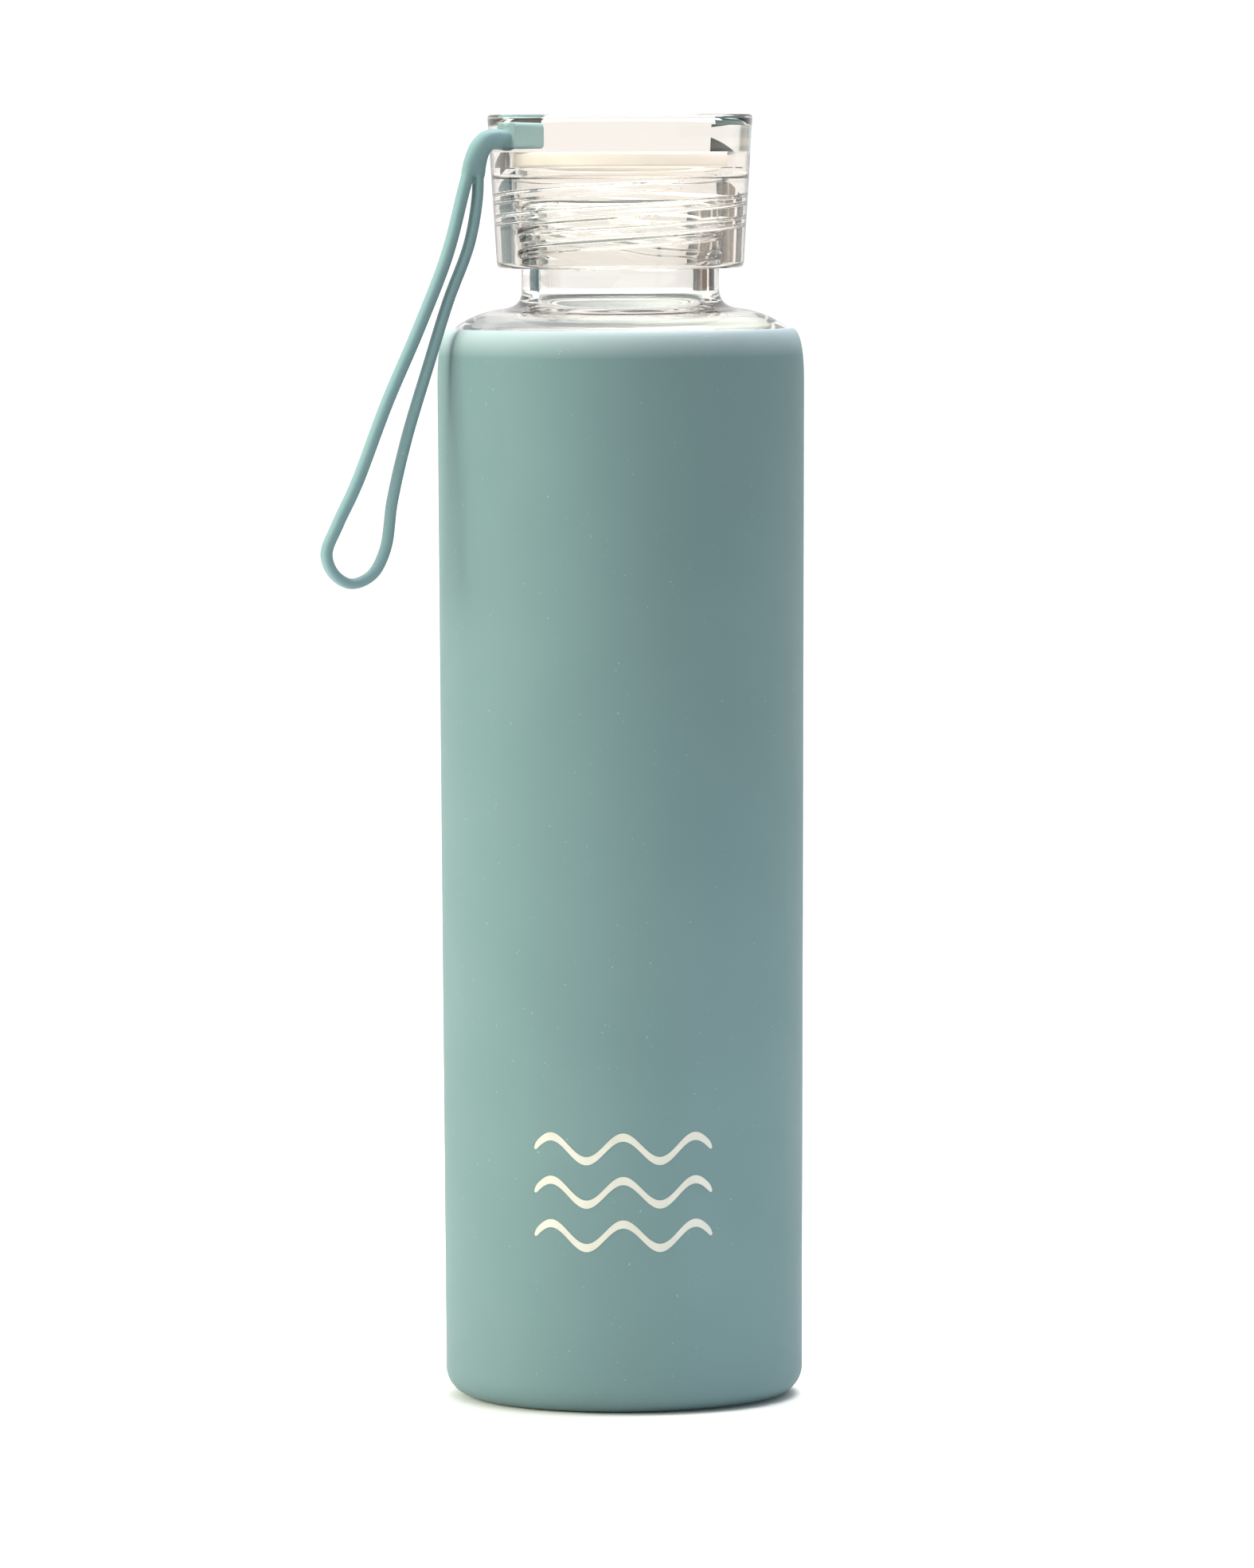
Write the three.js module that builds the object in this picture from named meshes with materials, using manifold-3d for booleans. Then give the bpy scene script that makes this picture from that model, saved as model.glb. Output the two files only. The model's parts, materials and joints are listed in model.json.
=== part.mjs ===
// Glass water bottle in a silicone sleeve, with a clear screw cap and a carry loop.
// Millimetres, +Z up, origin at the centre of the base, front towards -Y.
// The cap stands three quarters of a turn open; its carry loop hangs on the left.
import * as THREE from 'three';
import { mergeVertices } from 'three/addons/utils/BufferGeometryUtils.js';
import Module from 'manifold-3d';

const wasm = await Module();
wasm.setup();

// ---- driving dimensions ----------------------------------------------------------------

const ROUND_SEGMENTS = 48;
const ARC_STEPS = 4;
const GAP = 0.3; // left between pieces that touch

const sleeve = {
  baseRadius: 33.3,
  topRadius: 34.0,
  floor: 2.0, // thickness under the glass
  baseFillet: 5.2,
  shoulderZ: 188.5, // where the side starts to round over
  topZ: 198.5,
  lipRadius: 31.35, // inner edge of the lip that wraps the shoulder
};

const glass = {
  baseRadius: 31.4,
  wallRadius: 32.0,
  wall: 1.9,
  floor: 4.0,
  baseFillet: 4.0,
  punt: 1.2, // rise of the hollow under the floor
  wallTopZ: 190.0,
  shoulderZ: 202.1, // where the shoulder meets the neck's fillet
  shoulderInnerRadius: 22.0,
  neckRadius: 18.3,
  neckBaseZ: 205.8,
  boreRadius: 15.2,
  rimZ: 222.5,
};

const thread = {
  starts: 2,
  lead: 8.0,
  ridgeRadius: 1.0, // radius of the round ridge section
  sides: 6,
  stepsPerTurn: 28,
};
const glassThread = { pathRadius: 18.7, startZ: 211.5, turns: 0.92, phaseZ: 218.45 };
const capThread = { pathRadius: 19.8, startZ: 215.2, turns: 1.25, phaseZ: 220.5 };
const FRONT_AZIMUTH = 270; // degrees, anticlockwise from +X

const cap = {
  bottomZ: 209.6,
  topZ: 238.0,
  bottomRadius: 22.85,
  topRadius: 24.6,
  rootRadius: 20.3, // inside wall between the thread ridges
  flangeRadius: 18.9, // inner edge of the ledge under the seal
  flangeBottomZ: 226.4,
  flangeTopZ: 228.3,
  weldZ: 231.3, // where the lid is welded on the threaded shell
  edge: 0.8,
};

const seal = { innerRadius: 13.5, outerRadius: 20.0, bottomZ: 228.6, thickness: 2.5 };

const strap = {
  azimuth: 202, // degrees, anticlockwise from +X
  exitZ: 233.4,
  stemHeight: 3.8,
  stemWidth: 4.4,
  headInner: 12.8, // nearest and furthest distance of the head from the axis
  headOuter: 20.1,
  headWidth: 6.4,
  headBottomZ: 232.0,
  headTopZ: 236.7,
  pivotRadius: 27.2, // the bend just outside the cap
  rootOffset: 2.25, // from the bend to the start of the hanging loop
  strandHalfThickness: 1.1,
  strandHalfDepth: 1.4,
  strandSides: 8,
  strandSteps: 56,
};

// ---- materials -------------------------------------------------------------------------

const materials = {
  glass: { color: 0xdfe9e6, roughness: 0.03, metalness: 0, transparent: true, opacity: 0.35 },
  sleeve: { color: 0x86a8a6, roughness: 0.7, metalness: 0 },
  clearPlastic: { color: 0xeae6dc, roughness: 0.06, metalness: 0, transparent: true, opacity: 0.4 },
  seal: { color: 0xcdbfae, roughness: 0.45, metalness: 0 },
  strap: { color: 0x7a9da2, roughness: 0.6, metalness: 0 },
};

function node(name, geometry, finish) {
  const mesh = new THREE.Mesh(geometry, new THREE.MeshStandardMaterial(materials[finish]));
  mesh.name = name;
  return mesh;
}

// ---- closed meshes and booleans ----------------------------------------------------------

// Keeps positions only, merges shared vertices and drops the flat triangles on the axis.
function tidy(geometry) {
  const bare = geometry.clone();
  bare.deleteAttribute('normal');
  bare.deleteAttribute('uv');
  const merged = mergeVertices(bare, 1e-4);
  const index = merged.index.array;
  const kept = [];
  for (let i = 0; i < index.length; i += 3) {
    const [a, b, c] = [index[i], index[i + 1], index[i + 2]];
    if (a !== b && b !== c && c !== a) kept.push(a, b, c);
  }
  merged.setIndex(kept);
  return merged;
}

function toSolid(geometry) {
  const clean = tidy(geometry);
  return new wasm.Manifold(new wasm.Mesh({
    numProp: 3,
    vertProperties: Float32Array.from(clean.attributes.position.array),
    triVerts: Uint32Array.from(clean.index.array),
  }));
}

function toGeometry(solid) {
  const mesh = solid.getMesh();
  const geometry = new THREE.BufferGeometry();
  geometry.setAttribute('position', new THREE.BufferAttribute(mesh.vertProperties, 3));
  geometry.setIndex(new THREE.BufferAttribute(mesh.triVerts, 1));
  return geometry;
}

function union(first, ...others) {
  return others.reduce((whole, piece) => whole.add(toSolid(piece)), toSolid(first));
}

// ---- shape helpers -----------------------------------------------------------------------

// A profile is a THREE.Path in (distance from the axis, height).
function turned(profile) {
  const points = profile.getPoints(ARC_STEPS);
  return tidy(new THREE.LatheGeometry(points, ROUND_SEGMENTS).rotateX(Math.PI / 2));
}

// An outline in the strap's own plane (radius, height), given a depth across that plane.
function slab(corners, depth) {
  const outline = new THREE.Shape(corners.map(([r, z]) => new THREE.Vector2(r, z)));
  const geometry = new THREE.ExtrudeGeometry(outline, { depth, bevelEnabled: false });
  return geometry.rotateX(Math.PI / 2).translate(0, depth / 2, 0);
}

function rectangle(r0, r1, z0, z1) {
  return [[r0, z0], [r1, z0], [r1, z1], [r0, z1]];
}

function ellipse(halfWidth, halfHeight, sides) {
  const corners = [];
  for (let i = 0; i < sides; i += 1) {
    const turn = (2 * Math.PI * i) / sides;
    corners.push(new THREE.Vector2(halfWidth * Math.cos(turn), halfHeight * Math.sin(turn)));
  }
  return new THREE.Shape(corners);
}

class Helix extends THREE.Curve {
  constructor(radius, startZ, startAzimuth, turns) {
    super();
    Object.assign(this, { radius, startZ, startAzimuth, turns });
  }

  getPoint(t, target = new THREE.Vector3()) {
    const made = this.turns * t;
    const angle = THREE.MathUtils.degToRad(this.startAzimuth) + 2 * Math.PI * made;
    const z = this.startZ + thread.lead * made;
    return target.set(this.radius * Math.cos(angle), this.radius * Math.sin(angle), z);
  }
}

// Right-handed ridges, one per start. phaseZ is a ridge's height where it crosses the front.
function threadRidges({ pathRadius, startZ, turns, phaseZ }) {
  const ridges = [];
  for (let start = 0; start < thread.starts; start += 1) {
    const turnsFromFront = (startZ - phaseZ) / thread.lead + start / thread.starts;
    const azimuth = FRONT_AZIMUTH + 360 * turnsFromFront;
    const helix = new Helix(pathRadius, startZ, azimuth, turns);
    const section = ellipse(thread.ridgeRadius, thread.ridgeRadius, thread.sides);
    const steps = Math.round(turns * thread.stepsPerTurn);
    ridges.push(new THREE.ExtrudeGeometry(section, { steps, extrudePath: helix }));
  }
  return ridges;
}

// ---- glass bottle --------------------------------------------------------------------------

function glassBottle() {
  const g = glass;
  const baseZ = sleeve.floor + GAP;
  const footRadius = g.baseRadius - g.baseFillet;
  const boreWall = (g.neckRadius - g.boreRadius) / 2;
  const innerTop = g.wallRadius - g.wall;
  const innerBase = g.baseRadius - g.wall;
  const floorZ = baseZ + g.floor;
  const p = new THREE.Path();
  p.moveTo(0, baseZ + g.punt);
  p.quadraticCurveTo(footRadius / 2, baseZ + g.punt, footRadius - 3, baseZ);
  p.lineTo(footRadius, baseZ);
  p.absarc(footRadius, baseZ + g.baseFillet, g.baseFillet, -Math.PI / 2, 0, false);
  p.lineTo(g.wallRadius, g.wallTopZ);
  p.bezierCurveTo(g.wallRadius, 196.2, 31.6, 198.3, 29.8, 199.4);
  p.quadraticCurveTo(26.2, 201.6, g.shoulderInnerRadius, g.shoulderZ);
  p.quadraticCurveTo(g.neckRadius, 202.5, g.neckRadius, g.neckBaseZ);
  p.lineTo(g.neckRadius, g.rimZ - boreWall);
  p.absarc(g.boreRadius + boreWall, g.rimZ - boreWall, boreWall, 0, Math.PI, false);
  p.lineTo(g.boreRadius, g.neckBaseZ - 0.5);
  p.bezierCurveTo(g.boreRadius, 200.6, 17.5, 200.5, 21.5, 200.1);
  p.bezierCurveTo(26.5, 199.4, innerTop, 197.2, innerTop, g.wallTopZ - 1);
  p.lineTo(innerBase, floorZ + g.baseFillet);
  p.absarc(innerBase - g.baseFillet, floorZ + g.baseFillet, g.baseFillet, 0, -Math.PI / 2, true);
  p.lineTo(0, floorZ);
  const body = turned(p);
  return node('glass_bottle', toGeometry(union(body, ...threadRidges(glassThread))), 'glass');
}

// ---- silicone sleeve -----------------------------------------------------------------------

function siliconeSleeve() {
  const s = sleeve;
  const insideTop = glass.wallRadius + GAP;
  const insideBase = glass.baseRadius + GAP;
  const insideFillet = glass.baseFillet;
  const p = new THREE.Path();
  p.moveTo(0, 0);
  p.lineTo(s.baseRadius - s.baseFillet, 0);
  p.absarc(s.baseRadius - s.baseFillet, s.baseFillet, s.baseFillet, -Math.PI / 2, 0, false);
  p.lineTo(s.topRadius, s.shoulderZ);
  p.bezierCurveTo(s.topRadius, 195.2, 33.2, 197.9, s.lipRadius + 0.5, s.topZ);
  p.lineTo(s.lipRadius, s.topZ - 0.1);
  p.bezierCurveTo(32.0, 197.2, insideTop, 195.8, insideTop, glass.wallTopZ + 0.4);
  p.lineTo(insideBase, s.floor + insideFillet);
  p.absarc(insideBase - insideFillet, s.floor + insideFillet, insideFillet, 0, -Math.PI / 2, true);
  p.lineTo(0, s.floor);
  return node('silicone_sleeve', turned(p), 'sleeve');
}

// ---- cap: threaded shell and welded lid ------------------------------------------------------

// The cap's outer wall widens evenly from its mouth to its top.
function capRadiusAt(z) {
  const share = (z - cap.bottomZ) / (cap.topZ - cap.bottomZ);
  return cap.bottomRadius + share * (cap.topRadius - cap.bottomRadius);
}

function capShell() {
  const c = cap;
  const weldBottom = c.weldZ - GAP / 2;
  const mouthChamfer = 0.8;
  const p = new THREE.Path();
  p.moveTo(capRadiusAt(c.bottomZ) - c.edge, c.bottomZ);
  p.lineTo(capRadiusAt(c.bottomZ + c.edge), c.bottomZ + c.edge);
  p.lineTo(capRadiusAt(weldBottom), weldBottom);
  p.lineTo(seal.outerRadius + GAP, weldBottom);
  p.lineTo(seal.outerRadius + GAP, c.flangeTopZ);
  p.lineTo(c.flangeRadius, c.flangeTopZ);
  p.lineTo(c.flangeRadius, c.flangeBottomZ);
  p.lineTo(c.rootRadius, c.flangeBottomZ);
  p.lineTo(c.rootRadius, c.bottomZ + mouthChamfer);
  p.lineTo(c.rootRadius + mouthChamfer, c.bottomZ);
  p.lineTo(capRadiusAt(c.bottomZ) - c.edge, c.bottomZ);
  const body = turned(p);
  return node('cap_shell', toGeometry(union(body, ...threadRidges(capThread))), 'clearPlastic');
}

// The lid is built with its strap socket along +X and turned to the strap's azimuth.
// The socket is open at the underside, so the strap's head drops in before welding.
function capLid() {
  const c = cap;
  const bottom = c.weldZ + GAP / 2;
  const p = new THREE.Path();
  p.moveTo(0, bottom);
  p.lineTo(capRadiusAt(bottom), bottom);
  p.lineTo(capRadiusAt(c.topZ - c.edge), c.topZ - c.edge);
  p.quadraticCurveTo(c.topRadius, c.topZ, c.topRadius - c.edge, c.topZ);
  p.lineTo(0, c.topZ);
  const below = bottom - 1;
  const stemTop = strap.exitZ + strap.stemHeight / 2 + GAP;
  const beyond = c.topRadius + 5;
  const chamber = slab(
    rectangle(strap.headInner - GAP, strap.headOuter + GAP, below, strap.headTopZ + GAP),
    strap.headWidth + 2 * GAP,
  );
  const slot = slab(
    rectangle(strap.headOuter - 1, beyond, below, stemTop),
    strap.stemWidth + 2 * GAP,
  );
  const body = toSolid(turned(p)).subtract(toSolid(chamber)).subtract(toSolid(slot));
  return node('cap_lid', toGeometry(body), 'clearPlastic');
}

// ---- seal ring -------------------------------------------------------------------------------

function sealRing() {
  const { innerRadius, outerRadius, bottomZ, thickness } = seal;
  const topZ = bottomZ + thickness;
  const edge = 0.4;
  const p = new THREE.Path();
  p.moveTo(innerRadius + edge, bottomZ);
  p.lineTo(outerRadius - edge, bottomZ);
  p.lineTo(outerRadius, bottomZ + edge);
  p.lineTo(outerRadius, topZ - edge);
  p.lineTo(outerRadius - edge, topZ);
  p.lineTo(innerRadius + edge, topZ);
  p.lineTo(innerRadius, topZ - edge);
  p.lineTo(innerRadius, bottomZ + edge);
  p.lineTo(innerRadius + edge, bottomZ);
  return node('seal_ring', turned(p), 'seal');
}

// ---- strap -----------------------------------------------------------------------------------

// Head and stem stay with the cap: the stem ends in a round knuckle at the bend.
function strapHead() {
  const s = strap;
  const half = s.stemHeight / 2;
  const knuckleSteps = 6;
  const stem = [[s.headOuter - 1, s.exitZ - half]];
  for (let i = 0; i <= knuckleSteps; i += 1) {
    const angle = -Math.PI / 2 + (Math.PI * i) / knuckleSteps;
    stem.push([s.pivotRadius + half * Math.cos(angle), s.exitZ + half * Math.sin(angle)]);
  }
  stem.push([s.headOuter - 1, s.exitZ + half]);
  const head = slab(
    rectangle(s.headInner, s.headOuter, s.headBottomZ, s.headTopZ),
    s.headWidth,
  );
  return node('strap_head', toGeometry(union(head, slab(stem, s.stemWidth))), 'strap');
}

// Centre line of the hanging loop in (radius, height): down the outer strand, round the
// bottom and up the inner strand.
const LOOP_ROUTE = [
  [30.2, 228.2], [31.1, 225.0], [35.0, 212.4], [40.7, 199.0], [46.9, 185.2], [53.3, 170.1],
  [57.2, 162.8], [58.6, 157.6], [57.0, 154.0], [53.6, 152.1], [49.4, 153.6], [46.6, 158.3],
  [45.6, 167.0], [43.2, 178.6], [38.7, 192.1], [34.5, 203.7], [30.4, 214.2], [28.8, 222.3],
  [28.7, 228.2],
];

function strapLoop() {
  const s = strap;
  const route = new THREE.CatmullRomCurve3(
    LOOP_ROUTE.map(([r, z]) => new THREE.Vector3(r, 0, z)),
    false,
    'centripetal',
  );
  const section = ellipse(s.strandHalfThickness, s.strandHalfDepth, s.strandSides);
  const strand = new THREE.ExtrudeGeometry(section, { steps: s.strandSteps, extrudePath: route });
  const down = new THREE.Vector2(0.535, -0.845); // the neck's direction at its root
  const half = s.stemHeight / 2;
  const rootR = s.pivotRadius + s.rootOffset * down.x;
  const rootZ = s.exitZ + s.rootOffset * down.y;
  const neck = slab([
    [rootR + half * down.y, rootZ - half * down.x],
    [27.6, 224.8],
    [31.9, 224.0],
    [31.2, 229.6],
    [rootR - half * down.y, rootZ + half * down.x],
  ], s.stemWidth);
  return node('strap_loop', toGeometry(union(neck, strand)), 'strap');
}

// ---- assembly --------------------------------------------------------------------------------

const bottle = new THREE.Group();
bottle.add(glassBottle(), siliconeSleeve());

const strapSide = new THREE.Group();
strapSide.rotation.z = THREE.MathUtils.degToRad(strap.azimuth);
strapSide.add(capLid(), strapHead(), strapLoop());

const closure = new THREE.Group();
closure.add(capShell(), sealRing(), strapSide);

const group = new THREE.Group();
group.add(bottle, closure);

export default group;
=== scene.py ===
"""Glass water bottle in a silicone sleeve: detailed pieces, materials, light and camera.

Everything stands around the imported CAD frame. Outlines are written in millimetres as
(distance from the axis, height) and turned into metres when their mesh is made.
"""
import json
import math

import bmesh
import bpy
import numpy as np
from mathutils import Matrix, Vector


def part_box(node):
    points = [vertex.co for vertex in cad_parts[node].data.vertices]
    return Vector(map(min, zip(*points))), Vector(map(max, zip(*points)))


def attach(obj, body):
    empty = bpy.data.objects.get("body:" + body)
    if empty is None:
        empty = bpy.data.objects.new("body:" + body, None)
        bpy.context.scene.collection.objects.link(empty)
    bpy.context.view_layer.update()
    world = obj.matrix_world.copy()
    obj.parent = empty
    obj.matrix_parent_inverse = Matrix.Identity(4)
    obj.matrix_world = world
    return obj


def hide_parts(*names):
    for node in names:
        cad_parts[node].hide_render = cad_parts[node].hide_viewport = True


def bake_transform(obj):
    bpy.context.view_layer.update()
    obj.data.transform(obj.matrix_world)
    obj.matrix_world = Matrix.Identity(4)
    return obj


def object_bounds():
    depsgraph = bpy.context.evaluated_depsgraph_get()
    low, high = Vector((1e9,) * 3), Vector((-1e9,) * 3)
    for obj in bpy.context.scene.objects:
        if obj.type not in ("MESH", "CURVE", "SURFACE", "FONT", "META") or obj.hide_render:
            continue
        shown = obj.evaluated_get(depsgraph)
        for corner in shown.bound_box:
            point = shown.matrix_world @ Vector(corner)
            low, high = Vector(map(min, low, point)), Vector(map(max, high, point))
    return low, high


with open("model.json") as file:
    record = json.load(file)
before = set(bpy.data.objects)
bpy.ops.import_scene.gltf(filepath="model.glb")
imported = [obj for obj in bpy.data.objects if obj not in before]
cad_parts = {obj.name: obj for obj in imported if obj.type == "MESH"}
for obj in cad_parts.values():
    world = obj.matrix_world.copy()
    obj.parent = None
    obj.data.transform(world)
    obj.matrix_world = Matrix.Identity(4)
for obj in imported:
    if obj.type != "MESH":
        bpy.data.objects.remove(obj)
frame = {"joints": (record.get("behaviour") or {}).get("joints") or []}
cad_lo, cad_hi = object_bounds()

MM = 0.001
FRONT = math.radians(270)  # azimuth of the front, anticlockwise from +X

# ---- sizes read from the frame -------------------------------------------------------------


def joint(name):
    return next(j for j in frame["joints"] if j["name"] == name)


def top_of(node):
    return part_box(node)[1].z / MM


def bottom_of(node):
    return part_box(node)[0].z / MM


def radius_of(node):
    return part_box(node)[1].x / MM


BEND = Vector(joint("strap_swing")["pos_m"]) / MM
STRAP_TURN = math.atan2(BEND.y, BEND.x)

SLEEVE_TOP = top_of("silicone_sleeve")
SLEEVE_RADIUS = radius_of("silicone_sleeve")
SLEEVE_BASE_RADIUS = SLEEVE_RADIUS - 0.8
SLEEVE_SHOULDER = 188.5
SLEEVE_LIP_RADIUS = 31.35
SLEEVE_FILLET = 5.2
SLEEVE_FLOOR = 2.0
GAP = 0.3  # between the glass and the sleeve

GLASS_BASE = bottom_of("glass_bottle")
GLASS_RADIUS = radius_of("glass_bottle")
GLASS_BASE_RADIUS = GLASS_RADIUS - 0.6
GLASS_WALL = 1.9
GLASS_FLOOR = 4.0
GLASS_FILLET = 4.0
PUNT = 1.2  # height of the hollow under the glass
RIM = top_of("glass_bottle")
NECK_RADIUS = 18.3
BORE_RADIUS = 15.2

CAP_BOTTOM = bottom_of("cap_shell")
CAP_TOP = top_of("cap_lid")
CAP_BOTTOM_RADIUS = 22.85
CAP_TOP_RADIUS = 24.6
CAP_ROOT_RADIUS = 20.3
CAP_EDGE = 0.8
FLANGE_RADIUS = 18.9
FLANGE_BOTTOM = 226.4
FLANGE_TOP = 228.3
SEAL_BOTTOM = bottom_of("seal_ring")
SEAL_TOP = top_of("seal_ring")
SEAL_INNER = 13.5
SEAL_OUTER = radius_of("seal_ring")
SEAL_EDGE = 0.4
SEAT_RADIUS = SEAL_OUTER + 1.4
LID_UNDERSIDE = SEAL_TOP + 0.05

THREAD_LEAD = 8.0
THREAD_PITCH = 4.0  # two starts
# Of each thread: ridge height, height of a ridge at the front, lowest and highest end.
GLASS_RIDGE, GLASS_PHASE = 0.8, 218.45
GLASS_THREAD = (211.5, 211.5 + 0.92 * THREAD_LEAD)
CAP_RIDGE, CAP_PHASE = 0.7, 220.5
CAP_THREAD = (215.2, 215.2 + 1.25 * THREAD_LEAD)

# ---- small mesh tools ----------------------------------------------------------------------


def line(a, b, steps):
    """Points from a up to, and not including, b."""
    return [tuple(np.add(a, np.multiply(np.subtract(b, a), i / steps))) for i in range(steps)]


def arc(centre, radius, start, end, steps):
    """Points on an arc in degrees, with both ends."""
    angles = np.radians(np.linspace(start, end, steps + 1))
    return [(centre[0] + radius * math.cos(a), centre[1] + radius * math.sin(a)) for a in angles]


def bezier(a, b, c, d, steps):
    """Points on a cubic curve, with both ends."""
    a, b, c, d = (np.array(p, float) for p in (a, b, c, d))
    made = []
    for t in np.linspace(0, 1, steps + 1):
        s = 1 - t
        made.append(tuple(s**3 * a + 3 * s * s * t * b + 3 * s * t * t * c + t**3 * d))
    return made


def smoothstep(low, high, value):
    """0 at low, 1 at high and smooth between them."""
    t = np.clip((value - low) / (high - low), 0, 1)
    return t * t * (3 - 2 * t)


def new_mesh(name, points_mm, faces, smooth=True):
    """An object from points in millimetres, with its faces turned outwards."""
    mesh = bpy.data.meshes.new(name)
    mesh.from_pydata([tuple(np.multiply(p, MM)) for p in points_mm], [], faces)
    mesh.validate()
    made = bpy.data.objects.new(name, mesh)
    bpy.context.scene.collection.objects.link(made)
    turn_faces_out(mesh)
    if smooth:
        mesh.polygons.foreach_set("use_smooth", [True] * len(mesh.polygons))
    return made


def turn_faces_out(mesh):
    """Makes the face normals of a closed mesh agree and point outwards."""
    work = bmesh.new()
    work.from_mesh(mesh)
    bmesh.ops.recalc_face_normals(work, faces=work.faces)
    if work.calc_volume(signed=True) < 0:
        bmesh.ops.reverse_faces(work, faces=work.faces)
    work.to_mesh(mesh)
    work.free()


def turned(name, profile, segments=160, shape=None):
    """A body of revolution. The profile starts and ends on the axis, or closes on itself.

    shape(radius, height, azimuth) may return changed radii, as thread ridges need.
    """
    on_axis = abs(profile[0][0]) < 1e-9
    middle = profile[1:-1] if on_axis else profile
    azimuth = np.linspace(0, 2 * math.pi, segments, endpoint=False)
    points = []
    for r, z in middle:
        radii = np.full(segments, r)
        if shape:
            radii = shape(r, z, azimuth)
        points += list(zip(radii * np.cos(azimuth), radii * np.sin(azimuth), [z] * segments))
    faces = []
    rows = len(middle)
    for row in range(rows if not on_axis else rows - 1):
        low, high = row * segments, (row + 1) % rows * segments
        for i in range(segments):
            j = (i + 1) % segments
            faces.append((low + i, low + j, high + j, high + i))
    if on_axis:
        first, last = len(points), len(points) + 1
        points += [(0, 0, profile[0][1]), (0, 0, profile[-1][1])]
        top = (rows - 1) * segments
        for i in range(segments):
            j = (i + 1) % segments
            faces.append((first, j, i))
            faces.append((last, top + i, top + j))
    return new_mesh(name, points, faces)


def settle(obj):
    """Replaces the object's mesh with what its modifiers make of it."""
    graph = bpy.context.evaluated_depsgraph_get()
    made = bpy.data.meshes.new_from_object(obj.evaluated_get(graph))
    old = obj.data
    obj.modifiers.clear()
    obj.data = made
    bpy.data.meshes.remove(old)
    return obj


def joined(name, objects):
    """One mesh object holding the meshes of several."""
    points, faces = [], []
    for o in objects:
        base = len(points)
        points += [tuple(v.co / MM) for v in o.data.vertices]
        faces += [tuple(base + i for i in p.vertices) for p in o.data.polygons]
        bpy.data.objects.remove(o)
    return new_mesh(name, points, faces)


def thread_height(z, azimuth, phase, start, end):
    """1 on a ridge's crest and 0 beside it, for the right-hand ridges between two heights."""
    line_z = phase + THREAD_LEAD * (azimuth - FRONT) / (2 * math.pi)
    off = (z - line_z + THREAD_PITCH / 2) % THREAD_PITCH - THREAD_PITCH / 2
    ridge = 1 - smoothstep(0.4, 1.05, np.abs(off))
    own = z - off
    run_in = smoothstep(start - 0.1, start + 0.9, own)
    run_out = 1 - smoothstep(end - 0.9, end + 0.1, own)
    return ridge * run_in * run_out


# ---- materials -----------------------------------------------------------------------------

# Numbers of the colour sockets of Blender's Mix node, whose names aren't unique.
MIX_FIRST = 6
MIX_SECOND = 7
MIX_RESULT = 2

DUST = (0.55, 0.64, 0.62, 1)
LIP_HIGHLIGHT_GAIN = (2.75, 2.15, 2.2, 1)  # gain of the painted highlight on the sleeve's thin top edge, standing in for light through the lip


class Nodes:
    """A material's node tree, with short calls to add and join nodes."""

    def __init__(self, name):
        self.material = bpy.data.materials.new(name)
        self.material.use_nodes = True
        self.tree = self.material.node_tree
        self.shader = self.tree.nodes["Principled BSDF"]

    def add(self, kind, **values):
        """A new node. The values are inputs by name, or settings where no input has the name."""
        made = self.tree.nodes.new("ShaderNode" + kind)
        for key, value in values.items():
            if key in made.inputs:
                made.inputs[key].default_value = value
            else:
                setattr(made, key, value)
        return made

    def join(self, source, target):
        self.tree.links.new(source, target)

    def set(self, **values):
        """Sets inputs of the main shader, with _ for a space in their names."""
        for key, value in values.items():
            self.shader.inputs[key.replace("_", " ")].default_value = value

    def noise(self, scale, detail=2.0, roughness=0.5, stretch=(1, 1, 1)):
        where = self.add("TexCoord")
        placed = self.add("Mapping", Scale=stretch)
        made = self.add("TexNoise", Scale=scale, Detail=detail, Roughness=roughness)
        self.join(where.outputs["Object"], placed.inputs["Vector"])
        self.join(placed.outputs["Vector"], made.inputs["Vector"])
        return made.outputs["Fac"]

    def ramp(self, source, stops):
        made = self.add("ValToRGB")
        set_stops(made.color_ramp, stops)
        self.join(source, made.inputs["Fac"])
        return made.outputs["Color"]

    def span(self, source, low, high, out_low, out_high):
        """Maps one range of values on another."""
        made = self.add("MapRange")
        for key, value in zip(("From Min", "From Max", "To Min", "To Max"),
                              (low, high, out_low, out_high)):
            made.inputs[key].default_value = value
        self.join(source, made.inputs["Value"])
        return made.outputs["Result"]

    def bump(self, source, distance, strength=1.0):
        made = self.add("Bump", Strength=strength, Distance=distance)
        self.join(source, made.inputs["Height"])
        return made


def set_stops(ramp, stops):
    """Gives a colour ramp exactly these (position, colour) stops."""
    elements = ramp.elements
    while len(elements) > 1:
        elements.remove(elements[-1])
    elements[0].position, elements[0].color = stops[0]
    for position, colour in stops[1:]:
        elements.new(position).color = colour


def grey(value):
    return (value, value, value, 1)


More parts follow.
